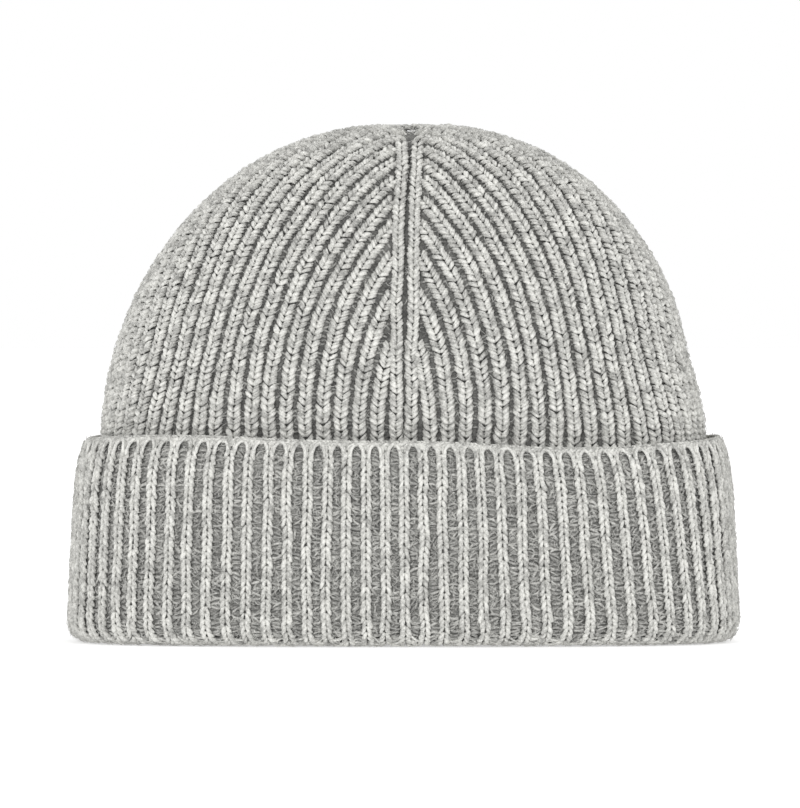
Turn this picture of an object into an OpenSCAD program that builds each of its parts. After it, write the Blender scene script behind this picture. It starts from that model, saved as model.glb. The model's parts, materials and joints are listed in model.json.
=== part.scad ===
// Rib-knit beanie with a turned-up cuff, standing upright on the fold of its cuff.
// The origin is on the floor, in the middle of the head opening. +Z points up to the tip,
// the front faces -Y, and the left and right sides are at -X and +X.
// Every horizontal section is one oval, so each layer of fabric is that oval moved in or out.

/* [Body] */
// Width of the tube of fabric inside the cuff, side to side
body_w = 208; // [170:1:240]
// Depth of the same tube, front to back
body_d = 98; // [70:1:150]
// Thickness of one layer of the rib fabric
fabric_t = 4.2; // [3:0.1:4.4]
// Roundness of the oval: 2 is an ellipse, and more is fuller at its corners
oval_power = 3.0; // [2:0.1:4]

/* [Crown] */
// Height of the crown above the cuff
crown_h = 107.5; // [80:0.5:140]
// Fullness of the crown's shoulders: less is flatter there
shoulder_power = 1.8; // [1.6:0.1:2.2]
// Fullness of the crown's top: more is flatter there
top_power = 2.3; // [2:0.05:2.6]
// Width of the decrease lines between the gores, and of the back seam
seam_w = 3.2; // [2:0.1:5]
// Share of the body's width that the gathered tip takes
tip_share = 0.09; // [0.06:0.01:0.14]
// Height that the gathered tip stands above the crown
tip_rise = 0.6; // [0.2:0.1:2]

/* [Cuff] */
// Height of the cuff from the floor to its cast-on edge
cuff_h = 70.6; // [50:0.1:85]
// How far the cuff's face stands out from the body at its cast-on edge
cuff_top_out = 4.8; // [4.8:0.1:7]
// How far the cuff's face stands out from the body just above the fold
cuff_fold_out = 11.3; // [10:0.1:16]
// Height of the rounded fold under the cuff
fold_h = 9; // [8:0.5:12]
// Height of the rounded cast-on edge
edge_h = 6; // [4:0.5:9]

/* [Fit] */
// Room between the body and the cuff, so that the cuff can be rolled
roll_gap = 0.4; // [0.3:0.1:0.6]

/* [Quality] */
// Steps in a quarter of the oval
quarter_steps = 12; // [8:1:16]
// Steps from the cuff to the tip
dome_steps = 12; // [8:1:16]

/* [Hidden] */
seam_half = seam_w / 2;
body_x = body_w / 2;
body_y = body_d / 2;
// Height at which the inner layer starts to turn out to the fold
inner_leg_h = 6;
// Half widths of the fold's outer curve and of the hollow inside it
fold_reach = fold_h - 1;
hollow_reach = 3;
// The cuff leans in evenly by one share of its taper, and curls in by the rest near its edge
even_taper = 0.45;
curl_power = 8;
wall_bottom = inner_leg_h + roll_gap;
tip_angle = acos(pow(tip_share, top_power / 2));
arc_steps = 5;
face_steps = 6;
knit_colour = [0.77, 0.77, 0.74];
seam_colour = [0.70, 0.70, 0.67];

// ---- shared curves

// A quarter of the oval, from +X round to +Y. It stops at the seam's side at both ends.
function quarter(half_x, half_y) = [for (i = [0 : quarter_steps]) let (a = 90 * i / quarter_steps)
    [seam_half + (half_x - seam_half) * pow(cos(a), 2 / oval_power),
     seam_half + (half_y - seam_half) * pow(sin(a), 2 / oval_power)]];

// Points of a list in the opposite order
function backwards(points) = [for (i = [len(points) - 1 : -1 : 0]) points[i]];

// The whole oval, from the back seam round by +X, the front and -X to the seam again
function oval(half_x, half_y) = let (q = quarter(half_x, half_y)) concat(
    backwards(q),
    [for (p = q) [p[0], -p[1]]],
    [for (p = backwards(q)) [-p[0], -p[1]]],
    [for (p = q) [-p[0], p[1]]]);

// Share of the body's half width, and of the crown's height, at an angle up the crown
function dome_share(angle) = pow(cos(angle), 2 / top_power);
function dome_rise(angle) = pow(sin(angle), 2 / shoulder_power);
function dome_angles() = [for (i = [0 : dome_steps]) tip_angle * i / dome_steps];

// Height of the outer and of the inner face of the crown at an angle up it
function outer_z(angle) = cuff_h + crown_h * dome_rise(angle);
function inner_z(angle) = cuff_h + (crown_h - fabric_t) * dome_rise(angle);

// Thickness of the layer in plan: none at the tip, where its end stands upright
function plan_t(angle) = angle < tip_angle ? fabric_t : 0;

// Part of an ellipse as points [out, height]
function arc(centre, radii, from, to) = [for (i = [0 : arc_steps]) let (a = from + (to - from) * i / arc_steps)
    [centre[0] + radii[0] * cos(a), centre[1] + radii[1] * sin(a)]];

// How far the cuff's face stands out at a share of the way up it
function face_out(share) = cuff_fold_out
    - (cuff_fold_out - cuff_top_out) * (even_taper * share + (1 - even_taper) * pow(share, curl_power));

// ---- sections of the cuff and body, as points [out from the body, height]

wall_section = [[-fabric_t, wall_bottom], [0, wall_bottom], [0, cuff_h], [-fabric_t, cuff_h]];

fold_section = concat(
    arc([inner_leg_h - fabric_t, inner_leg_h], [inner_leg_h, inner_leg_h], 180, 270),
    arc([cuff_fold_out - fold_reach, fold_h], [fold_reach, fold_h], 270, 360),
    arc([cuff_fold_out - fabric_t - hollow_reach, fold_h], [hollow_reach, fold_h - fabric_t], 360, 270),
    [[0, inner_leg_h]]);

panel_top = cuff_h - edge_h;
panel_section = concat(
    [for (i = [0 : face_steps]) let (s = i / face_steps)
        [face_out(s), fold_h + (panel_top - fold_h) * s]],
    [for (i = [face_steps : -1 : 0]) let (s = i / face_steps)
        [face_out(s) - fabric_t, fold_h + (panel_top - fold_h) * s]]);

edge_section = concat(
    [[cuff_top_out - fabric_t, panel_top], [cuff_top_out, panel_top]],
    arc([cuff_top_out - fabric_t / 2, cuff_h - fabric_t / 2], [fabric_t / 2, fabric_t / 2], 0, 180));

// ---- shared solids

// A section carried round the oval. An open one stops at both sides of the back seam.
module carried_round(section, open) {
    rings = [for (s = section) [for (p = oval(body_x + s[0], body_y + s[0])) [p[0], p[1], s[1]]]];
    ring_len = len(rings[0]);
    rows = len(section);
    last = open ? ring_len - 2 : ring_len - 1;
    sides = [for (j = [0 : rows - 1], k = [0 : last]) let (j2 = (j + 1) % rows, k2 = (k + 1) % ring_len)
        [j * ring_len + k, j * ring_len + k2, j2 * ring_len + k2, j2 * ring_len + k]];
    caps = open ? [
        [for (j = [0 : rows - 1]) j * ring_len],
        [for (j = [rows - 1 : -1 : 0]) j * ring_len + ring_len - 1]] : [];
    polyhedron([for (r = rings) each r], concat(sides, caps), convexity = 6);
}

// A section of the cuff or body laid across the back seam
module across_seam(section) {
    translate([-seam_half, body_y, 0])
        rotate([90, 0, 90])
            linear_extrude(seam_w)
                polygon(section);
}

// One quarter of the crown's shell, on the +X +Y side
module gore() {
    outer = [for (a = dome_angles()) [for (p = quarter(body_x * dome_share(a), body_y * dome_share(a)))
        [p[0], p[1], outer_z(a)]]];
    inner = [for (a = dome_angles())
        [for (p = quarter((body_x - plan_t(a)) * dome_share(a), (body_y - plan_t(a)) * dome_share(a)))
            [p[0], p[1], inner_z(a)]]];
    row = quarter_steps + 1;
    under = row * (dome_steps + 1);
    skin = [for (i = [0 : dome_steps - 1], j = [0 : quarter_steps - 1]) let (k = i * row + j)
        [k, k + row, k + row + 1, k + 1]];
    top = dome_steps * row;
    faces = concat(
        skin,
        [for (f = skin) [for (k = backwards(f)) k + under]],
        [for (j = [0 : quarter_steps - 1]) [j, j + 1, j + 1 + under, j + under]],
        [for (j = [0 : quarter_steps - 1]) [top + j + 1, top + j, top + j + under, top + j + 1 + under]],
        [for (i = [0 : dome_steps - 1]) let (k = i * row) [k + row, k, k + under, k + row + under]],
        [for (i = [0 : dome_steps - 1]) let (k = i * row + quarter_steps)
            [k, k + row, k + row + under, k + under]]);
    polyhedron([for (r = concat(outer, inner)) each r], faces, convexity = 4);
}

// Outline of the crown's shell beside a seam, as points [out from the middle, height]
function rib_outline(half) = let (angles = dome_angles()) concat(
    [for (a = angles) [half * dome_share(a), outer_z(a)]],
    [for (a = backwards(angles)) [(half - plan_t(a)) * dome_share(a), inner_z(a)]]);

// A strip of the crown between two gores, standing on the side at +X before it is turned
module crown_strip(outline, turn) {
    rotate([0, 0, turn])
        translate([0, seam_half, 0])
            rotate([90, 0, 0])
                linear_extrude(seam_w)
                    polygon(outline);
}

// ---- the crown

// The four gores: knitted wedges that narrow to the tip
module crown_gore_front_left() {
    color(knit_colour) rotate([0, 0, 180]) gore();
}

module crown_gore_front_right() {
    color(knit_colour) mirror([0, 1, 0]) gore();
}

module crown_gore_back_left() {
    color(knit_colour) mirror([1, 0, 0]) gore();
}

module crown_gore_back_right() {
    color(knit_colour) gore();
}

// The decrease lines: paired narrow wales where the gores meet
module decrease_line_front() {
    color(seam_colour) crown_strip(rib_outline(body_y), -90);
}

module decrease_line_left() {
    color(seam_colour) crown_strip(rib_outline(body_x), 180);
}

module decrease_line_right() {
    color(seam_colour) crown_strip(rib_outline(body_x), 0);
}

// The linked seam that closes the panel at the back, from the fold to the tip
module back_seam() {
    outline = rib_outline(body_y);
    wall = [[body_y - fabric_t, wall_bottom], [body_y, wall_bottom]];
    color(seam_colour) crown_strip(concat(wall, outline), 90);
}

// The last stitches, drawn together by the gathering yarn
module gathered_tip() {
    base = inner_z(tip_angle);
    color(seam_colour)
        translate([0, 0, base])
            linear_extrude(outer_z(tip_angle) + tip_rise - base)
                polygon(oval(body_x * tip_share, body_y * tip_share));
}

// The straight tube of fabric behind the cuff
module body_wall() {
    color(knit_colour) carried_round(wall_section, true);
}

// ---- the cuff

// The rounded turn under the cuff, with the flat ring that the hat stands on
module cuff_fold() {
    color(knit_colour) carried_round(fold_section, false);
}

// The turned-up layer, with the fabric's reverse face outside
module cuff_panel() {
    color(knit_colour) carried_round(panel_section, true);
}

// The part of the closing seam that shows at the back of the cuff
module cuff_back_seam() {
    color(seam_colour) across_seam(panel_section);
}

// The first row of the knitting, rounded over at the top of the cuff
module cast_on_edge() {
    color(knit_colour) carried_round(edge_section, false);
}

crown_gore_front_left();
crown_gore_front_right();
crown_gore_back_left();
crown_gore_back_right();
decrease_line_front();
decrease_line_left();
decrease_line_right();
back_seam();
gathered_tip();
body_wall();
cuff_fold();
cuff_panel();
cuff_back_seam();
cast_on_edge();
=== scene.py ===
"""Looks for the rib-knit beanie: its stitches are tubes of yarn, laid along the hat's wales.

Lengths are in metres. A place round the hat is a share of the oval's length: 0 is the middle of
the front, 0.25 the right side (+X), 0.5 the back and 0.75 the left side.
"""

import json
import math

import bpy
import numpy as np
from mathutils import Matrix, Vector


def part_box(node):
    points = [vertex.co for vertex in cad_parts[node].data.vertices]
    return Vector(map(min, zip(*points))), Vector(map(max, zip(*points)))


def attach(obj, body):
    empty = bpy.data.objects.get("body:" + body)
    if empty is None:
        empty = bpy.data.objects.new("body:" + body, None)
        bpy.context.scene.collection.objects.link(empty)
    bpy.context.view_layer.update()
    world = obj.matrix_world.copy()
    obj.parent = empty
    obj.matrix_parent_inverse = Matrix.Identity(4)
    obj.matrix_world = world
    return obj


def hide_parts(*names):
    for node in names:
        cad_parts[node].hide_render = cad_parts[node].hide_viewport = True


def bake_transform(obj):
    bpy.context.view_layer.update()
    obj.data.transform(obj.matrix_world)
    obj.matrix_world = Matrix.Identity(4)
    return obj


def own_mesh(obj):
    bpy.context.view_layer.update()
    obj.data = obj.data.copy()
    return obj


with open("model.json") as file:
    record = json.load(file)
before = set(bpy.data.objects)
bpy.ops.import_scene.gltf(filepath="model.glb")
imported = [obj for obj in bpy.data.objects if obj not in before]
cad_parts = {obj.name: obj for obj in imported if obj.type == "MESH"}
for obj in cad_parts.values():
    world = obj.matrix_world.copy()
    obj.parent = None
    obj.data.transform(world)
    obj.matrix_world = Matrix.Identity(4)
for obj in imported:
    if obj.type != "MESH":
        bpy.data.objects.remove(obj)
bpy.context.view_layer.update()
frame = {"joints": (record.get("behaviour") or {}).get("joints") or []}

# ---- sizes, taken from the frame ----------------------------------------------------------------

WALL_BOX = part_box("body_wall")
GORE_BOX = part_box("crown_gore_back_right")
EDGE_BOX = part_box("cast_on_edge")
FOLD_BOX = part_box("cuff_fold")

BODY_X = WALL_BOX[1].x                      # half width of the tube inside the cuff
BODY_Y = WALL_BOX[1].y                      # half depth of the same tube
CUFF_H = EDGE_BOX[1].z                      # floor to cast-on edge
CROWN_H = GORE_BOX[1].z - CUFF_H            # cast-on edge to the tip
FOLD_H = FOLD_BOX[1].z                      # height of the rounded fold
FOLD_OUT = FOLD_BOX[1].x - BODY_X           # how far the cuff stands out at the fold
TOP_OUT = EDGE_BOX[1].x - BODY_X            # and at its cast-on edge
TRAVEL = frame["joints"][0]["range_m"][1]   # how far the crown rises as the cuff is turned down

MM = 0.001
OVAL_POWER = 3.0                            # roundness of the oval section
TOP_POWER = 2.3                             # fullness of the crown's top
SHOULDER_POWER = 1.8                        # fullness of its shoulders
LEAN = 2.4 * MM                             # how far the tip leans to the right
DENT = 2.0 * MM                             # how far the soft right side falls in
DENT_RISE = 0.28                            # how far up the crown that is, as a share of its height
DENT_WIDTH = 0.16                           # and how far it reaches up and down
GRIP = 2.0 * MM                             # how far the cuff's edge draws in the front and back
GRIP_WIDTH = 5.5 * MM                       # and how far up and down from the edge

WALES = 92                                  # ribs round the hat
WALES_PER_GORE = WALES // 4
HALF_GORE = 1 / 8                           # share of the girth that half a gore takes
WALE_ANGLE = 2 * math.pi / WALES
COURSE = 2.24 * MM                          # height of one row of stitches
BALL_RADIUS = 82 * MM                       # the ball that the gores are laid out on
COLUMN_PLACE = 0.39                         # how far a seam's columns stand from it, in wales

random = np.random.default_rng(11)

# The materials' places in the list MARL, and the usual shares of pale, middle and deep strands.
# The last two are far darker wool, painted shade for the core sheets, the groove and channel loops
# and the hat's inside.
PALE, MIDDLE, DEEP, SHADE_CORE, SHADE_REVERSE = range(5)
EVEN_MARL = (0.5, 0.3, 0.2)

# ---- the hat's surfaces -------------------------------------------------------------------------


def swell(place, middle, width):
    """A smooth bell: 1 at its middle and almost 0 two widths away."""
    return np.exp(-((place - middle) / width) ** 2)


def ease(way):
    """A smooth step from 0 to 1."""
    return way ** 2 * (3 - 2 * way)


def oval_radius(angle, half_x, half_y):
    """How far the oval is from its middle, at an angle from the front."""
    across = np.abs(np.sin(angle) / half_x) ** OVAL_POWER
    along = np.abs(np.cos(angle) / half_y) ** OVAL_POWER
    return (across + along) ** (-1 / OVAL_POWER)


def angle_table(steps=4000):
    """Polar angles, the share of the oval's length that each one lies at, and that length."""
    angles = np.linspace(0, 2 * math.pi, steps + 1)
    radius = oval_radius(angles, BODY_X, BODY_Y)
    points = np.stack([radius * np.sin(angles), -radius * np.cos(angles)], 1)
    lengths = np.linalg.norm(np.diff(points, axis=0), axis=1)
    along = np.concatenate([[0], np.cumsum(lengths)])
    return angles, along / along[-1], along[-1]


ANGLES, SHARES, GIRTH = angle_table()
PITCH = GIRTH / WALES                       # width of one wale


def oval(share, half_x, half_y):
    """Points of the oval at shares of its length."""
    angle = np.interp(share % 1.0, SHARES, ANGLES)
    radius = oval_radius(angle, half_x, half_y)
    return radius * np.sin(angle), -radius * np.cos(angle)


def spread_out(share, rise=0.0):
    """Sets the wales a little wider apart on the flat front and back than at the sides. Part way
    up the crown, they keep further from the decrease lines."""
    settled = 0.8                           # the rise from which they lie as they do at the bottom
    part_way = np.sin(math.pi * np.clip(rise / settled, 0, 1))
    broad = 0.010 - 0.0025 * part_way
    narrow = 0.006 * part_way - 0.003
    return share + broad * np.sin(4 * math.pi * share) + narrow * np.sin(8 * math.pi * share)


def body_point(share, latitude):
    """The body's outer face. Latitude is 0 at the cuff's edge, a right angle at the tip and less
    than 0 in the tube behind the cuff."""
    up = np.clip(latitude, 0, math.pi / 2 - 1e-4)
    scale = np.cos(up) ** (2 / TOP_POWER)
    rise = np.sin(up) ** (2 / SHOULDER_POWER)
    x, y = oval(spread_out(share, rise), BODY_X, BODY_Y)
    z = CUFF_H + CROWN_H * rise + np.minimum(latitude, 0) * BALL_RADIUS
    slack = DENT * np.clip(x / BODY_X, 0, 1) ** 3 * swell(rise, DENT_RISE, DENT_WIDTH)
    drawn_in = 1 - GRIP / BODY_Y * swell(latitude * BALL_RADIUS, 0, GRIP_WIDTH)
    return np.stack([x * scale + LEAN * rise ** 2 - slack, y * scale * drawn_in, z], -1)


INSIDE_STEPS = 19
TURN_STEPS = 40
FACE_STEPS = 60


def cuff_profile():
    """The cuff's outer face from inside the hat, round the fold and up to the cast-on edge:
    how far out it is, how high it is, and the length along it."""
    turn = np.linspace(0, 1, TURN_STEPS)
    fabric = 4.2 * MM                       # how far in the inner face lies from the tube's face
    inner_leg = 6 * MM                      # radius of the turn on its way in
    inside_top = 30 * MM                    # height at which the profile starts, inside the hat
    inside_h = np.linspace(inside_top, inner_leg, INSIDE_STEPS + 1)[:-1]
    inside_out = np.full(INSIDE_STEPS, -fabric)
    inner = math.pi + turn * math.pi / 2
    lift = 0.6 * MM                         # so that the yarn stands on the floor, not in it
    inner_out = -fabric + inner_leg * (1 + np.cos(inner))
    inner_h = inner_leg + (inner_leg - lift) * np.sin(inner)
    outer = turn * math.pi / 2
    outer_r = FOLD_H - 1 * MM               # radius of the turn on its way out
    square = 0.78                           # less than 1 makes the outer curve squarer
    outer_out = FOLD_OUT - outer_r + outer_r * np.sin(outer) ** square
    outer_h = FOLD_H - (FOLD_H - lift) * np.cos(outer) ** square
    face = np.linspace(0, 1, FACE_STEPS)[1:]
    face_out = FOLD_OUT - (FOLD_OUT - TOP_OUT) * (0.45 * face + 0.55 * face ** 8)
    face_h = FOLD_H + (CUFF_H - FOLD_H) * face
    out = np.concatenate([inside_out, inner_out, outer_out, face_out])
    high = np.concatenate([inside_h, inner_h, outer_h, face_h])
    length = np.concatenate([[0], np.cumsum(np.hypot(np.diff(out), np.diff(high)))])
    return out, high, length


PROFILE_OUT, PROFILE_H, PROFILE_L = cuff_profile()
PROFILE_END = PROFILE_L[-1]
FOLD_L = PROFILE_L[np.argmin(PROFILE_H)]    # where the profile touches the floor
FACE_L = PROFILE_L[-FACE_STEPS]             # where the fold ends and the upright face begins


def from_front(share):
    """The share counted from the front, less than 0 on the left."""
    return (share + 0.5) % 1.0 - 0.5


def edge_wave(share):
    """How far the cast-on edge rises or dips round the hat: a dip right of the front, a crest
    left of it, and five small waves."""
    dip = 2.6 * MM * swell(from_front(share), 0.088, 0.06)
    crest = 1.3 * MM * swell(from_front(share), -0.115, 0.07)
    return crest - dip + 0.5 * MM * np.sin(2 * math.pi * 5 * share)


def rib_drift(share):
    """How far a rib drifts to one side between the cast-on edge and the fold: most on the right
    of the front."""
    return (0.6 + 4.0 * swell(from_front(share), 0.16, 0.065)) * MM


def cuff_face(share, length):
    """The cuff's outer face at a length along its profile."""
    out = np.interp(length, PROFILE_L, PROFILE_OUT)
    high = np.interp(length, PROFILE_L, PROFILE_H)
    drifted = share + rib_drift(share) * (1 - high / CUFF_H) / GIRTH
    x, y = oval(spread_out(drifted), BODY_X, BODY_Y)
    wave = np.where(length > FOLD_L, edge_wave(share) * np.clip(high / CUFF_H, 0, 1) ** 2, 0)
    return np.stack([x * (BODY_X + out) / BODY_X, y * (BODY_Y + out) / BODY_Y, high + wave], -1)


def cuff_point(share, length, depth=0.0):
    """A point at a depth under the cuff's outer face."""
    share, length = np.broadcast_arrays(share, length)
    step = 0.4 * MM
    up = cuff_face(share, length + step) - cuff_face(share, length - step)
    across = cuff_face(share + step / GIRTH, length) - cuff_face(share - step / GIRTH, length)
    out = np.cross(across, up)
    out /= np.linalg.norm(out, axis=-1, keepdims=True) + 1e-15
    return cuff_face(share, length) - np.asarray(depth)[..., None] * out


# ---- wales: lines that the stitches are laid along ----------------------------------------------


class Wale:
    """A line on a surface, with its length and, at each point, which way is on, across and out.
    The length can be measured along the line or be given."""

    def __init__(self, surface, shares, levels, along=None):
        self.points = surface(shares, levels)
        if along is None:
            steps = np.linalg.norm(np.diff(self.points, axis=0), axis=1)
            along = np.concatenate([[0], np.cumsum(steps)])
        self.along = along
        self.length = along[-1]
        on = np.gradient(self.points, along, axis=0)
        self.on = on / np.linalg.norm(on, axis=1)[:, None]
        nudge = 2e-4
        nearby = surface(shares + nudge, levels) - surface(shares - nudge, levels)
        out = np.cross(nearby, self.on)
        self.out = out / (np.linalg.norm(out, axis=1)[:, None] + 1e-12)
        self.across = np.cross(self.on, self.out)
        self.room = np.ones(len(along))     # how wide the wale can be, where 1 is its usual width

    def width(self, length):
        """How far the stitches spread to fill the wale's room."""
        return np.clip(np.interp(length, self.along, self.room), 0.85, 1.45)

    def at(self, length, name):
        """One of the wale's vectors at lengths along it; it runs on straight past its ends."""
        values = getattr(self, name)
        found = np.stack([np.interp(length, self.along, values[:, i]) for i in range(3)], -1)
        if name == "points":
            past = np.where(length < 0, length, np.maximum(length - self.length, 0))
            found = found + past[..., None] * self.at(length, "on")
        return found


def gore_line(gore, wale, v):
    """Share and latitude of a wale at angles v up its gore. Wales run side by side up the middle
    of the gore, so that they meet the decrease lines at a slant."""
    u = wale * WALE_ANGLE
    rise = np.maximum(v, 0)
    turned = np.arctan2(np.sin(u), np.cos(u) * np.cos(rise))
    latitude = np.arcsin(np.cos(u) * np.sin(rise)) + np.minimum(v, 0)
    return gore / 4 + HALF_GORE + turned / (2 * math.pi), latitude


def room_to_seam(share, latitude, gore):
    """How many wales fit between a point and the nearest decrease line."""
    turned = np.abs(share - gore / 4 - HALF_GORE) * 2 * math.pi
    return (math.pi / 4 - turned) * np.cos(np.maximum(latitude, 0)) / WALE_ANGLE


def edge_line(seam, side, latitude):
    """Share of the column that runs beside a seam, on one side of it."""
    near_tip = 1.52                         # latitude from which the shift grows no more
    shift = COLUMN_PLACE / WALES / np.cos(np.clip(latitude, 0, near_tip))
    return seam / 4 + side * shift


# ---- yarn ---------------------------------------------------------------------------------------

ROUGHNESS = 0.12                            # how uneven a strand is, as a share of its radius
FIBRE = 0.07 * MM                           # radius of a loose fibre


class Mesh:
    """Vertices and faces of one piece, gathered tube by tube and sheet by sheet."""

    def __init__(self):
        self.points = []
        self.faces = []
        self.count = 0

    def add(self, points, faces, material=PALE):
        kinds = np.broadcast_to(material, len(faces))
        self.points.append(points.reshape(-1, 3))
        self.faces.append((faces + self.count, kinds))
        self.count += points.size // 3

    def tubes(self, centres, outs, radii, sides=6, material=PALE):
        """Closed tubes. centres and outs are (tubes, rings, 3), and radii (tubes, rings).
        material is one number, or one for each tube."""
        tubes, rings, _ = centres.shape
        material = np.broadcast_to(material, tubes)
        on = np.gradient(centres, axis=1)
        on /= np.linalg.norm(on, axis=2, keepdims=True) + 1e-12
        out = outs - (outs * on).sum(2, keepdims=True) * on
        out /= np.linalg.norm(out, axis=2, keepdims=True) + 1e-12
        across = np.cross(on, out)
        turn = np.arange(sides) * 2 * math.pi / sides
        rough = 1 + random.normal(0, ROUGHNESS, (tubes, rings, sides, 1))
        spread = radii[:, :, None, None] * rough
        ring = (centres[:, :, None, :]
                + spread * np.cos(turn)[None, None, :, None] * across[:, :, None, :]
                + spread * np.sin(turn)[None, None, :, None] * out[:, :, None, :])
        first = (np.arange(tubes) * rings * sides)[:, None, None]
        row = (np.arange(rings - 1) * sides)[None, :, None]
        here = np.arange(sides)[None, None, :]
        beside = (here + 1) % sides
        quads = np.stack(np.broadcast_arrays(
            first + row + here, first + row + sides + here,
            first + row + sides + beside, first + row + beside), -1).reshape(-1, 4)
        base = self.count
        self.add(ring, quads, np.repeat(material, (rings - 1) * sides))
        start = first[:, 0] + np.arange(sides)[None, :]
        end = start + (rings - 1) * sides
        self.faces.append((start + base, material))
        self.faces.append((end[:, ::-1] + base, material))

    def sheet(self, grid, closed=False, flip=False, material=PALE):
        """A sheet over a grid of points (rows, columns, 3). A closed one joins its columns."""
        rows, columns, _ = grid.shape
        row = (np.arange(rows - 1) * columns)[:, None]
        here = np.arange(columns if closed else columns - 1)[None, :]
        beside = (here + 1) % columns
        quads = np.stack(np.broadcast_arrays(
            row + here, row + beside, row + columns + beside, row + columns + here), -1)
        quads = quads.reshape(-1, 4)
        self.add(grid, quads[:, ::-1] if flip else quads, material)

    def object(self, name, materials):
        """The finished Blender object, smooth shaded."""
        points = np.concatenate(self.points).astype(np.float32)
        mesh = bpy.data.meshes.new(name)
        mesh.vertices.add(len(points))
        mesh.vertices.foreach_set("co", points.ravel())
        corners = np.concatenate([f.ravel() for f, _ in self.faces]).astype(np.int32)
        totals = np.concatenate([np.full(len(f), f.shape[1], np.int32) for f, _ in self.faces])
        starts = np.concatenate([[0], np.cumsum(totals)[:-1]]).astype(np.int32)
        kinds = np.concatenate([k for _, k in self.faces]).astype(np.int32)
        mesh.loops.add(len(corners))
        mesh.loops.foreach_set("vertex_index", corners)
        mesh.polygons.add(len(totals))
        mesh.polygons.foreach_set("loop_start", starts)
        mesh.polygons.foreach_set("loop_total", totals)
        mesh.polygons.foreach_set("material_index", kinds)
        mesh.polygons.foreach_set("use_smooth", np.ones(len(totals), bool))
        mesh.update(calc_edges=True)
        mesh.validate()
        for material in materials:
            mesh.materials.append(material)
        made = bpy.data.objects.new(name, mesh)
        bpy.context.scene.collection.objects.link(made)
        return made


class Stitch:
    """The shape of one knit stitch: two legs that spread from the wale's middle."""

    def __init__(self, near, far, yarn, rise, reach, strands=1, rings=6, sides=6, sink=0.0,
                 round_off=0.0, bunch=1.0, course=COURSE, upside_down=False, marl=EVEN_MARL):
        self.near = near                    # how far a leg's foot is from the wale's middle
        self.far = far                      # how far its top is
        self.yarn = yarn                    # radius of a strand at its thickest
        self.rise = rise                    # how far the leg's belly stands out
        self.reach = reach                  # length of a leg in courses
        self.strands = strands              # strands that lie side by side in a leg
        self.rings = rings
        self.sides = sides
        self.sink = sink                    # how far the stitch lies under the surface
        self.round_off = round_off          # how far the wale falls away at its sides
        self.bunch = bunch                  # spacing of a leg's strands, where 1 is even
        self.course = course
        self.upside_down = upside_down      # true where the fabric is turned up
        self.marl = marl                    # shares of pale, middle and deep strands


def shades(count, marl=EVEN_MARL):
    """A shade of the marl for each of a number of strands."""
    return random.choice(len(marl), count, p=marl)


def wander(places, size, spacing=13 * MM):
    """A slow random drift at places along a line."""
    knots = np.arange(places.min() - spacing, places.max() + 2 * spacing, spacing)
    return np.interp(places, knots, random.normal(0, size, len(knots)))


def knit(mesh, wale, stitch, start, end, width=None):
    """Lays stitches along a wale from one length to another, each a little different.
    width(length) scales the spread of the legs."""
    count = round((end - start) / stitch.course)
    if count < 1:
        return
    middle = start + (np.arange(count) + 0.5) * (end - start) / count
    middle = middle + random.normal(0, 0.05, count) * stitch.course
    uneven = random.normal(0, 0.04 * stitch.far, count)
    sway = (uneven + wander(middle, 0.18 * MM))[:, None]
    q = np.linspace(0, 1, stitch.rings)[None, :]
    way = -1 if stitch.upside_down else 1
    for side in (-1, 1):
        wobble = 1 + random.normal(0, 0.07, (count, 1))
        for strand in range(stitch.strands):
            lesser = 1 - 0.30 * strand
            shift = ((strand + 0.5) / stitch.strands - 0.5) * stitch.bunch
            shift = shift + random.normal(0, 0.06, (count, 1))
            length = middle[:, None] + way * ((q - 0.5) * stitch.reach + shift) * stitch.course
            spread = stitch.near + (stitch.far - stitch.near) * q ** 0.85
            aside = spread * wobble
            if width:
                aside = aside * width(length)
            high = stitch.rise * (1 + random.normal(0, 0.30, (count, 1)))
            lift = high * (2 * np.sin(math.pi * (0.12 + 0.83 * q)) - 1)
            lift = lift - stitch.round_off * (spread / stitch.far) ** 2 - stitch.sink
            lift = lift + random.normal(0, 0.10 * MM, (count, 1)) - strand * 0.15 * MM
            centres = (wale.at(length, "points")
                       + (side * aside + sway)[..., None] * wale.at(length, "across")
                       + lift[..., None] * wale.at(length, "out"))
            thick = stitch.yarn * (0.60 + 0.40 * np.sin(math.pi * (0.10 + 0.80 * q)))
            thick = thick * lesser * (1 + random.normal(0, 0.10, (count, 1)))
            kinds = shades(count, stitch.marl)
            mesh.tubes(centres, wale.at(length, "out"), thick, stitch.sides, kinds)


def fuzz(mesh, surface, shares, levels, count):
    """Loose fibre ends that lie curled on a surface and stand off it a little."""
    share = random.uniform(*shares, (count, 1))
    level = random.uniform(*levels, (count, 1))
    root = surface(share, level)
    nudge = 1e-3
    across = surface(share + nudge, level) - root
    across /= np.linalg.norm(across, axis=2, keepdims=True)
    up = surface(share, level + nudge) - root
    up /= np.linalg.norm(up, axis=2, keepdims=True)
    out = np.cross(across, up)
    q = np.linspace(0, 1, 4)[None, :, None]
    turn = random.uniform(0, 2 * math.pi, (count, 1, 1))
    along = np.cos(turn) * across + np.sin(turn) * up
    aside = np.sin(turn) * across - np.cos(turn) * up
    long = random.uniform(1.5, 3.5, (count, 1, 1)) * MM
    high = random.uniform(0.5, 1.5, (count, 1, 1)) * MM
    curl = random.normal(0, 0.6, (count, 1, 1)) * MM
    centres = root + along * long * q + aside * curl * np.sin(q * 3)
    centres = centres + out * high * (2.2 * q - 1.4 * q ** 2 - 0.4)
    outs = np.broadcast_to(out, centres.shape)
    mesh.tubes(centres, outs, np.full(centres.shape[:2], FIBRE), 3, PALE)


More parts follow.
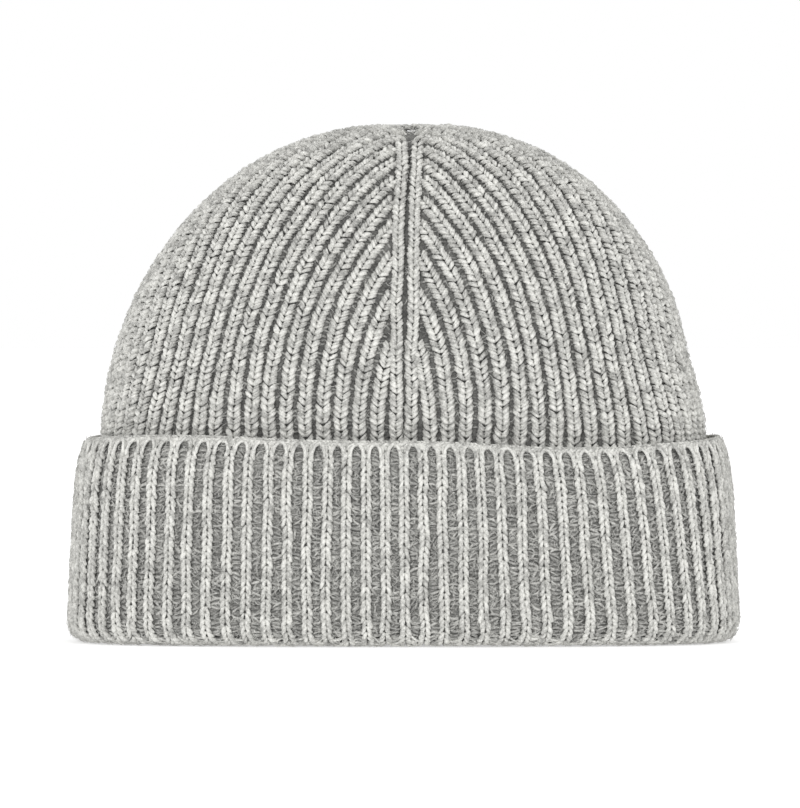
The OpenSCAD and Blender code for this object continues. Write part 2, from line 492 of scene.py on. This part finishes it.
# The crown's stitches, and the same with fewer sides for the tube that the turned-down cuff shows.
LEG = dict(near=0.15 * MM, far=2.00 * MM, yarn=0.74 * MM, rise=0.58 * MM, reach=0.90,
           strands=2, sink=0.92 * MM, round_off=0.85 * MM, bunch=0.84)
PLUMP = Stitch(**LEG)
DRAWN = Stitch(**LEG, rings=5, sides=5)
# The lower part of that tube, which the cuff always covers.
HIDDEN = Stitch(near=0.30 * MM, far=1.80 * MM, yarn=1.00 * MM, rise=0.40 * MM, reach=1.3,
                sink=0.90 * MM, round_off=0.50 * MM, rings=5, sides=5)
# The columns beside the decrease lines.
COLUMN = Stitch(near=0.15 * MM, far=1.80 * MM, yarn=0.70 * MM, rise=0.50 * MM, reach=1.0,
                strands=2, sink=0.55 * MM, round_off=0.50 * MM, bunch=0.95)
# The cuff's narrow ribs, and its closing seam.
NARROW = Stitch(near=0.30 * MM, far=1.42 * MM, yarn=0.77 * MM, rise=0.38 * MM, reach=1.38,
                sink=0.80 * MM, round_off=0.20 * MM, rings=7, upside_down=True,
                marl=(0.65, 0.30, 0.05))
LINKED = Stitch(near=0.35 * MM, far=1.0 * MM, yarn=0.66 * MM, rise=0.3 * MM, reach=1.7,
                sink=0.8 * MM, course=1.9 * MM, upside_down=True)

# ---- materials ----------------------------------------------------------------------------------


def wool(name, light, dark, bump=0.6):
    """Heathered wool: light and dark fibres mixed, matte, with a soft sheen and a fuzzy bump."""
    material = bpy.data.materials.new(name)
    material.use_nodes = True
    nodes, links = material.node_tree.nodes, material.node_tree.links
    shader = nodes["Principled BSDF"]
    shader.inputs["Roughness"].default_value = 0.92
    shader.inputs["Specular IOR Level"].default_value = 0.15
    shader.inputs["Sheen Weight"].default_value = 0.12
    shader.inputs["Sheen Roughness"].default_value = 0.6
    place = nodes.new("ShaderNodeTexCoord")

    def noise(scale, detail, roughness=0.6):
        node = nodes.new("ShaderNodeTexNoise")
        node.inputs["Scale"].default_value = scale
        node.inputs["Detail"].default_value = detail
        node.inputs["Roughness"].default_value = roughness
        links.new(place.outputs["Object"], node.inputs["Vector"])
        return node

    patches = noise(260, 2)
    fibres = noise(1500, 3, 0.7)
    blend = nodes.new("ShaderNodeMix")
    blend.inputs[0].default_value = 0.62
    links.new(patches.outputs["Fac"], blend.inputs[2])
    links.new(fibres.outputs["Fac"], blend.inputs[3])
    ramp = nodes.new("ShaderNodeValToRGB")
    ramp.color_ramp.elements[0].position = 0.40
    ramp.color_ramp.elements[0].color = (*dark, 1)
    ramp.color_ramp.elements[1].position = 0.57
    ramp.color_ramp.elements[1].color = (*light, 1)
    links.new(blend.outputs[0], ramp.inputs["Fac"])
    links.new(ramp.outputs["Color"], shader.inputs["Base Color"])
    relief = nodes.new("ShaderNodeBump")
    relief.inputs["Strength"].default_value = bump
    relief.inputs["Distance"].default_value = 0.35 * MM
    links.new(fibres.outputs["Fac"], relief.inputs["Height"])
    links.new(relief.outputs["Normal"], shader.inputs["Normal"])
    return material


def grey(level):
    """A warm grey."""
    return (level, 0.994 * level, 0.945 * level)


MARL = [
    wool("wool_pale", grey(0.67), grey(0.39)),
    wool("wool_middle", grey(0.60), grey(0.32)),
    wool("wool_deep", grey(0.51), grey(0.24)),
    # Core and reverse wool are darker copies of the yarn: painted shade for the gaps between
    # stitches, the grooves, the channels and the hat's inside.
    wool("wool_shade_core", grey(0.17), grey(0.075), bump=0.8),
    wool("wool_shade_reverse", grey(0.37), grey(0.15), bump=0.8),
]

# ---- the crown ----------------------------------------------------------------------------------

GORES = {0: "front_right", 1: "back_right", 2: "back_left", 3: "front_left"}
SEAMS = {0: "front", 1: "right", 2: "back", 3: "left"}
DECREASE_FROM = 0.36                        # latitude at which the gores begin to narrow
SEAM_TOPS = (1.27, 1.505)                   # latitudes where columns end: front and back, sides
SEAM_ROOM = 0.62                            # gore wales end this near a decrease line, in wales
TIP_ROOM = 0.30                             # and this near above the columns' tops
BACKING_DEPTH = 2.4 * MM                    # how far the fabric's core lies under its face
BARS_FROM = 8 * MM                          # how far up a groove its loops begin
CROWN_FROM = -0.12                          # latitude of the crown's lowest row, behind the cuff


def backing(mesh, shares, latitudes):
    """The body's core: a smooth outer face under the stitches and a ribbed face inside the hat."""
    share, latitude = np.meshgrid(shares, latitudes)
    face = body_point(share, latitude)
    nudge = 1e-3
    across = body_point(share + nudge, latitude) - body_point(share - nudge, latitude)
    up = body_point(share, latitude + nudge) - body_point(share, latitude - nudge)
    out = np.cross(across, up)
    out /= np.linalg.norm(out, axis=2, keepdims=True) + 1e-12
    rib = 0.5 + 0.5 * np.cos(2 * math.pi * WALES * share)
    outside = face - BACKING_DEPTH * out
    inside = face - (BACKING_DEPTH + (0.8 + 0.8 * rib) * MM)[..., None] * out
    # The outer face takes the very dark core wool and the inner face the darker reverse wool:
    # painted shade in the gaps between stitches and inside the hat.
    shell(mesh, outside, inside, SHADE_CORE, SHADE_REVERSE)


def shell(mesh, outside, inside, outer_material, inner_material):
    """Two sheets joined round their four edges."""
    mesh.sheet(outside, material=outer_material)
    mesh.sheet(inside, flip=True, material=inner_material)
    for row in (0, -1):
        mesh.sheet(np.stack([outside[row], inside[row]]), flip=row == 0, material=outer_material)
    for column in (0, -1):
        edge = np.stack([outside[:, column], inside[:, column]])
        mesh.sheet(edge, flip=column == -1, material=outer_material)


def gore_wales(gore, half, between=0.0):
    """The wales of half a gore, as lines that end on a decrease line, and the column beside that
    line up to where the gore narrows. Half is 0 or 1. With between at 0.5, the lines are those
    half way between the wales, and there is no column."""
    across = WALES_PER_GORE // 2
    v = np.linspace(CROWN_FROM, math.pi / 2, 260)
    wales = range(-across + 1, 0) if half == 0 else range(0, across)
    for wale in wales:
        share, latitude = gore_line(gore, wale + between, v)
        room = np.where(latitude < SEAM_TOPS[(gore + half) % 2], SEAM_ROOM, TIP_ROOM)
        inside = (room_to_seam(share, latitude, gore) > room) | (v < 0.05)
        last = np.argmin(inside) if not inside.all() else len(v)
        line = Wale(body_point, share[:last], latitude[:last])
        left = body_point(*gore_line(gore, wale + between - 0.5, v[:last]))
        right = body_point(*gore_line(gore, wale + between + 0.5, v[:last]))
        line.room = np.abs(((right - left) * line.across).sum(1)) / PITCH
        # A wale's last 5 mm slip under the column.
        dive = np.clip((line.along - line.length) / (5 * MM) + 1, 0, 1)
        line.points -= line.out * (dive * 0.9 * MM)[:, None]
        yield line
    if between:
        return
    low = np.linspace(CROWN_FROM, DECREASE_FROM, 60)
    yield Wale(body_point, edge_line(gore + half, 1 - 2 * half, low), low)


def groove_bars(mesh, line, from_length, to_length):
    """The purl loops at the bottom of a groove between two wales."""
    step = 0.7 * COURSE
    count = int((to_length - from_length) / step)
    if count < 1:
        return
    middle = from_length + (np.arange(count)[:, None] + 0.5) * step
    middle = middle + random.normal(0, 0.12, (count, 1)) * COURSE
    q = np.linspace(-1, 1, 4)[None, :]
    length = middle + random.normal(0, 0.25, (count, 1)) * COURSE * q
    low = (2.15 + random.normal(0, 0.20, (count, 1)) + 0.3 * q ** 2) * MM
    centres = (line.at(length, "points") + (1.3 * MM * q)[..., None] * line.at(length, "across")
               - low[..., None] * line.at(length, "out"))
    thick = np.broadcast_to(random.uniform(0.34, 0.48, (count, 1)) * MM, low.shape)
    # The loops take the core and reverse wool, darker than the yarn: painted shade at the bottom of
    # the groove.
    mesh.tubes(centres, line.at(length, "out"), thick, 4, random.choice([SHADE_CORE, SHADE_REVERSE], count))


def make_gore(gore, half):
    """Half a gore of the crown."""
    mesh = Mesh()
    for wale in gore_wales(gore, half):
        knit(mesh, wale, PLUMP, 0, wale.length, wale.width)
    for wale in gore_wales(gore, half, 0.5):
        groove_bars(mesh, wale, BARS_FROM, wale.length)
    left = gore / 4 + half * HALF_GORE
    right = left + HALF_GORE
    shares = np.linspace(left, right, WALES_PER_GORE * 3 + 1)
    up_the_crown = np.linspace(CROWN_FROM, 1.3, 56)
    round_the_tip = np.linspace(1.32, 1.545, 12)
    backing(mesh, shares, np.concatenate([up_the_crown, round_the_tip]))
    fuzz(mesh, body_point, (left, right), (0, 1.45), 500)
    made = mesh.object("knit_crown_" + GORES[gore] + "_" + str(half + 1), MARL)
    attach(made, "crown")
    if half == 0:
        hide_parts("crown_gore_" + GORES[gore])


def make_seam(seam):
    """Two columns that run up to the tip, one each side of a groove."""
    mesh = Mesh()
    latitude = np.linspace(DECREASE_FROM - 0.02, SEAM_TOPS[seam % 2], 200)
    for side in (-1, 1):
        wale = Wale(body_point, edge_line(seam, side, latitude), latitude)
        knit(mesh, wale, COLUMN, 0, wale.length)
    name = "back_seam" if seam == 2 else "decrease_line_" + SEAMS[seam]
    made = mesh.object("knit_" + name, MARL)
    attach(made, "crown")
    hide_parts(name)


def make_tip():
    """The last stitches drawn together: short loops that turn into a small dimple."""
    mesh = Mesh()
    loops = 16
    turn = (np.arange(loops) + random.uniform(-0.2, 0.2, loops)) * 2 * math.pi / loops
    turn = turn[:, None]
    q = np.linspace(0, 1, 8)[None, :]
    reach = (7.0 - 6.4 * q) * MM * random.uniform(0.8, 1.1, (loops, 1))
    height = (0.1 + 0.9 * np.sin(q * 2.4) - 1.1 * q ** 3) * MM
    height = height * random.uniform(0.7, 1.2, (loops, 1))
    top = CUFF_H + CROWN_H - 1.3 * MM
    twist = turn + 0.4 * q
    x = LEAN + reach * np.sin(twist) * 1.6
    y = reach * np.cos(twist) * 0.9
    centres = np.stack([x, y, top + height], -1)
    outs = np.broadcast_to(np.array([0.0, 0.0, 1.0]), centres.shape)
    thick = np.broadcast_to((1.0 - 0.3 * q) * 0.75 * MM, x.shape)
    mesh.tubes(centres, outs, thick, material=shades(loops))
    made = mesh.object("knit_gathered_tip", MARL)
    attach(made, "crown")
    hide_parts("gathered_tip")


# ---- the body wall behind the cuff --------------------------------------------------------------

WALL_TO = -0.08                             # latitude of the tube's top row, above CROWN_FROM
CORE_TO = -0.10                             # and of its core's top


def make_wall(gore):
    """A quarter of the tube behind the cuff. Its rows are set so that they are evenly spaced once
    the cuff is turned down and the tube has been drawn out."""
    mesh = Mesh()
    bottom = (FOLD_H - CUFF_H) / BALL_RADIUS
    low = np.linspace(bottom, WALL_TO, 80)
    way_up = (low - bottom) / -bottom
    drawn = (low - bottom) * BALL_RADIUS + TRAVEL * ease(way_up)
    shown_from = 24 * MM                    # drawn-out length at which the plain stitches end
    for wale in range(-(WALES_PER_GORE // 2), WALES_PER_GORE // 2 + 1):
        share, latitude = gore_line(gore, wale, low)
        line = Wale(body_point, share, latitude, drawn)
        knit(mesh, line, HIDDEN, 0, shown_from)
        knit(mesh, line, DRAWN, shown_from, line.length)
    shares = np.linspace(gore / 4, (gore + 1) / 4, WALES_PER_GORE * 6 + 1)
    backing(mesh, shares, np.linspace(bottom, CORE_TO, 30))
    made = mesh.object("knit_wall_" + GORES[gore], MARL)
    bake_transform(made)
    return made


# ---- the cuff -----------------------------------------------------------------------------------

EDGE_BAND = 1.9 * MM                        # height of the cast-on band
BARS_H = 4.0 * MM                           # height of the level bars under it
SPLIT_H = 5.5 * MM                          # height over which the ribs split under the edge
TUCK = 0.8 * MM                             # how far under the edge's top the face stops
CUFF_CORE = (2.4 * MM, 4.0 * MM)            # depths of the cuff's core under its face
RIB_STEPS = 300
LOOP_STEP = COURSE / 2.6                    # spacing of the loops in a channel
LOOP_YARN = 0.49 * MM                       # radius of their yarn


def cuff_wale(rib):
    """A rib's line from inside the hat, round the fold and up to the cast-on edge."""
    lengths = np.linspace(0, PROFILE_END, RIB_STEPS)
    return Wale(cuff_point, np.full(RIB_STEPS, rib / WALES), lengths, lengths)


def turning(length):
    """How near a place is to the turn under the cuff: 0 up on the face and 1 in the turn."""
    return ease(np.clip((FOLD_L + 11 * MM - length) / (7 * MM), 0, 1))


def cuff_width(length):
    """The ribs spread where the fabric turns."""
    return 1 + 0.45 * turning(length)


def channel_depth(length):
    """How deep the channels between the ribs lie. They fill up where the fabric turns."""
    return (1.80 - 1.50 * turning(length)) * MM


def purl_loops(mesh, share, start, end, step, yarn, bow, unevenness):
    """The loops that show between two ribs on the fabric's reverse, bowed up and down by turns."""
    count = round((end - start) / step)
    middle = start + (np.arange(count) + 0.5) * (end - start) / count
    q = np.linspace(-1, 1, 6)[None, :]
    up_or_down = np.where(np.arange(count) % 2 == 0, 1.0, -1.0)[:, None]
    tilt = random.normal(0, 0.40, (count, 1)) * unevenness
    reach = 1.9 * MM
    aside = random.normal(0, 0.25, (count, 1)) * MM * unevenness
    shares = share + (q * reach * np.cos(tilt) + aside) / GIRTH
    bows = up_or_down * bow * (1 + random.normal(0, 0.3, (count, 1)))
    along = middle[:, None] + bows * (0.5 - q ** 2) + q * reach * np.sin(tilt)
    low = channel_depth(along) + random.normal(0, 0.18, (count, 1)) * MM * unevenness
    low = low + 0.35 * MM * q ** 2
    centres = cuff_point(shares, along, low)
    outs = cuff_point(shares, along, low - 1 * MM) - centres
    thick = yarn * random.uniform(0.8, 1.15, (count, 1)) * (1 - 0.25 * q ** 2)
    # Up on the face the loops take deep and reverse wool, darker than the ribs, as painted shade in
    # the channel; in the turn they take the ribs' ordinary marl.
    in_turn = turning(middle) > random.uniform(0.3, 0.9, count)
    turned = shades(count, NARROW.marl)
    kinds = np.where(in_turn, turned, random.choice([DEEP, SHADE_REVERSE, SHADE_REVERSE], count))
    mesh.tubes(centres, outs, thick, 5, kinds)


def cuff_backing(mesh, shares, lengths):
    """The core of the turned-up layer: its smooth face under the ribs and its face to the body."""
    share, length = np.meshgrid(shares, lengths)
    outside, inside = [cuff_point(share, length, depth) for depth in CUFF_CORE]
    # Both faces take the darker reverse wool: painted shade under the ribs and between the layers.
    shell(mesh, outside, inside, SHADE_REVERSE, SHADE_REVERSE)


def rib_arms(mesh, rib, top):
    """Two arms that part from a rib and meet their neighbours' arms at the edge, with shorter and
    lower strands between them. The strands come in pairs, one to each side."""
    sides = np.tile([-1.0, 1.0], 4)[:, None]
    lean = sides * np.repeat([1.0, 0.72, 0.42, 0.15], 2)[:, None]
    start = np.repeat([0.0, 0.15, 0.38, 0.55], 2)[:, None]
    drop = np.repeat([0.0, 0.35, 0.45, 0.5], 2)[:, None] * MM
    strands = len(lean)
    q = np.linspace(0, 1, 8)[None, :]
    way = start + (1 - start) * q
    aside = lean * (0.95 + 2.0 * way ** 3.2) * MM + random.normal(0, 0.10, (strands, 1)) * MM
    along = top - SPLIT_H * (1 - way)
    low = 0.55 * MM + drop + random.normal(0, 0.10, (strands, 1)) * MM
    low = low - 0.25 * MM * np.sin(math.pi * q)
    low = low + random.normal(0, 0.06, low.shape) * MM
    shares = rib / WALES + aside / GIRTH
    centres = cuff_point(shares, along, low)
    outs = cuff_point(shares, along, low - 1 * MM) - centres
    thick = np.where(start == 0, 0.60, 0.42) * MM * random.uniform(0.9, 1.1, along.shape)
    mesh.tubes(centres, outs, thick, 6, shades(strands, NARROW.marl))


def make_panel(quarter, half):
    """One half of a quarter of the cuff's face. The seam takes the place of the rib at the back."""
    mesh = Mesh()
    top = PROFILE_END - TUCK
    bars_from = top - BARS_H
    first = quarter * WALES_PER_GORE + half * (WALES_PER_GORE // 2)
    last = (quarter + 1) * WALES_PER_GORE if half else first + WALES_PER_GORE // 2
    for rib in range(first, last):
        if rib != WALES // 2:
            knit(mesh, cuff_wale(rib), NARROW, FACE_L, top - 0.78 * SPLIT_H, cuff_width)
            rib_arms(mesh, rib, top)
        between = (rib + 0.5) / WALES
        purl_loops(mesh, between, FACE_L, bars_from, LOOP_STEP, LOOP_YARN, 0.65 * MM, 1.4)
        purl_loops(mesh, between, bars_from, top - 1 * MM, 0.72 * MM, 0.27 * MM, 0.15 * MM, 0.3)
    shares = np.linspace(first, last, (last - first) * 4 + 1) / WALES
    cuff_backing(mesh, shares, np.linspace(FACE_L, top, 40))
    fuzz(mesh, cuff_face, (first / WALES, last / WALES), (FACE_L, top), 1000)
    made = mesh.object("knit_cuff_" + GORES[quarter] + "_" + str(half + 1), MARL)
    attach(made, "cuff")
    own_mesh(made)
    return made


def make_fold(quarter):
    """The turn under one quarter of the cuff."""
    mesh = Mesh()
    start = FOLD_L - 14 * MM
    for rib in range(quarter * WALES_PER_GORE, (quarter + 1) * WALES_PER_GORE):
        knit(mesh, cuff_wale(rib), NARROW, start, FACE_L, cuff_width)
        between = (rib + 0.5) / WALES
        purl_loops(mesh, between, start, FACE_L, LOOP_STEP, LOOP_YARN, 0.50 * MM, 1.2)
    shares = np.linspace(quarter / 4, (quarter + 1) / 4, WALES + 1)
    cuff_backing(mesh, shares, np.linspace(start, FACE_L, 40))
    fuzz(mesh, cuff_face, (quarter / 4, (quarter + 1) / 4), (FOLD_L + 2 * MM, FACE_L), 400)
    made = mesh.object("knit_fold_" + GORES[quarter], MARL)
    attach(made, "cuff")
    return made


def edge_loops(mesh, row, slant):
    """One row of the slanting loops that close the edge."""
    loops = WALES * 5
    fill = 0.62                             # share of the band that one row covers
    q = np.linspace(0, 1, 6)[None, :]
    place = np.arange(loops)[:, None] + 0.5 * row + random.normal(0, 0.12, (loops, 1))
    share = (place + slant * (q - 0.5) * 1.5) / loops
    length = PROFILE_END - EDGE_BAND * (1 - fill * row) + EDGE_BAND * fill * q
    length = length + random.normal(0, 0.12, (loops, 1)) * MM
    depth = 0.9 * MM + 0.5 * MM * row - 0.4 * MM * np.sin(math.pi * q)
    depth = depth + random.normal(0, 0.1, (loops, 1)) * MM
    centres = cuff_point(share, length, depth)
    outs = cuff_point(share, length, depth - 1 * MM) - centres
    thick = random.uniform(0.46, 0.60, (loops, 1)) * MM * (0.7 + 0.3 * np.sin(math.pi * q))
    mesh.tubes(centres, outs, thick, 6, shades(loops))


def make_cast_on_edge():
    """The first row: slanting loops over a soft core, rounded over at the top of the cuff."""
    mesh = Mesh()
    for row, slant in ((0, 1), (1, -1)):
        edge_loops(mesh, row, slant)
    share = np.linspace(0, 1, WALES * 4, endpoint=False)[None, :]
    turn = np.linspace(0, 2 * math.pi, 9)[:-1, None]
    length = PROFILE_END - (1.1 + 0.8 * np.cos(turn)) * MM
    core = cuff_point(share, length, (2.1 + 1.3 * np.sin(turn)) * MM)
    mesh.sheet(np.concatenate([core, core[:1]]), closed=True, material=MIDDLE)
    made = mesh.object("knit_cast_on_edge", MARL)
    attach(made, "cuff")
    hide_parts("cast_on_edge")
    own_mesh(made)


def make_cuff_seam():
    """The closing seam on the cuff: one rib of tighter linked stitches."""
    mesh = Mesh()
    knit(mesh, cuff_wale(WALES // 2), LINKED, FACE_L, PROFILE_END - TUCK)
    made = mesh.object("knit_cuff_back_seam", MARL)
    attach(made, "cuff")
    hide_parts("cuff_back_seam")
    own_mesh(made)


for index in GORES:
    for half_index in (0, 1):
        make_gore(index, half_index)
for index in SEAMS:
    make_seam(index)
make_tip()
for index in GORES:
    wall = make_wall(index)
    if index == 0:
        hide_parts("body_wall")
for index in GORES:
    panels = [make_panel(index, half_index) for half_index in (0, 1)]
    fold = make_fold(index)
    if index == 0:
        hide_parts("cuff_panel")
        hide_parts("cuff_fold")
make_cast_on_edge()
make_cuff_seam()

# ---- floor, light and camera --------------------------------------------------------------------


def make_floor():
    """A white floor that glows a little, so that it runs into the white background."""
    mesh = bpy.data.meshes.new("floor")
    half = 6.0
    corners = [(-half, -half, 0), (half, -half, 0), (half, half, 0), (-half, half, 0)]
    mesh.from_pydata(corners, [], [(0, 1, 2, 3)])
    floor = bpy.data.objects.new("floor", mesh)
    bpy.context.scene.collection.objects.link(floor)
    material = bpy.data.materials.new("white_floor")
    material.use_nodes = True
    shader = material.node_tree.nodes["Principled BSDF"]
    shader.inputs["Base Color"].default_value = (0.68, 0.68, 0.68, 1)
    shader.inputs["Roughness"].default_value = 0.9
    shader.inputs["Specular IOR Level"].default_value = 0.1
    shader.inputs["Emission Color"].default_value = (1, 1, 1, 1)
    shader.inputs["Emission Strength"].default_value = 0.45
    mesh.materials.append(material)


def make_light(name, place, size, power):
    """A round lamp that points at the middle of the hat."""
    light = bpy.data.lights.new(name, "AREA")
    light.shape = "DISK"
    light.size = size
    light.energy = power
    lamp = bpy.data.objects.new(name, light)
    lamp.location = place
    hat_middle = Vector((0, 0, 0.08))
    way = hat_middle - Vector(place)
    lamp.rotation_euler = way.to_track_quat("-Z", "Y").to_euler()
    bpy.context.scene.collection.objects.link(lamp)


def make_camera():
    """A long lens from the front, a touch above the hat's middle."""
    elevation = math.radians(1.2)
    distance = 4.5
    sensor = 36
    view_h = 0.2782                         # height of the view at the hat's middle
    target = Vector((-1.2 * MM, 0, 81.6 * MM))
    data = bpy.data.cameras.new("camera")
    data.sensor_width = sensor
    data.lens = sensor * distance / view_h
    camera = bpy.data.objects.new("camera", data)
    back = Vector((0, -math.cos(elevation), math.sin(elevation)))
    camera.location = target + back * distance
    camera.rotation_euler = (-back).to_track_quat("-Z", "Y").to_euler()
    data.clip_start = 0.1
    data.clip_end = 50
    bpy.context.scene.collection.objects.link(camera)
    bpy.context.scene.camera = camera


def make_world():
    """An even white surround."""
    world = bpy.data.worlds.new("studio")
    world.use_nodes = True
    world.node_tree.nodes["Background"].inputs["Color"].default_value = (1, 1, 1, 1)
    world.node_tree.nodes["Background"].inputs["Strength"].default_value = 1.0
    bpy.context.scene.world = world
    bpy.context.scene.view_settings.view_transform = "Standard"


make_floor()
make_light("key", (-0.6, -2.1, 0.4), 0.9, 17.5)
make_light("fill", (1.4, -1.7, 0.6), 1.2, 8)
make_light("back", (0.5, 2.3, 1.2), 1.2, 6)
make_world()
make_camera()
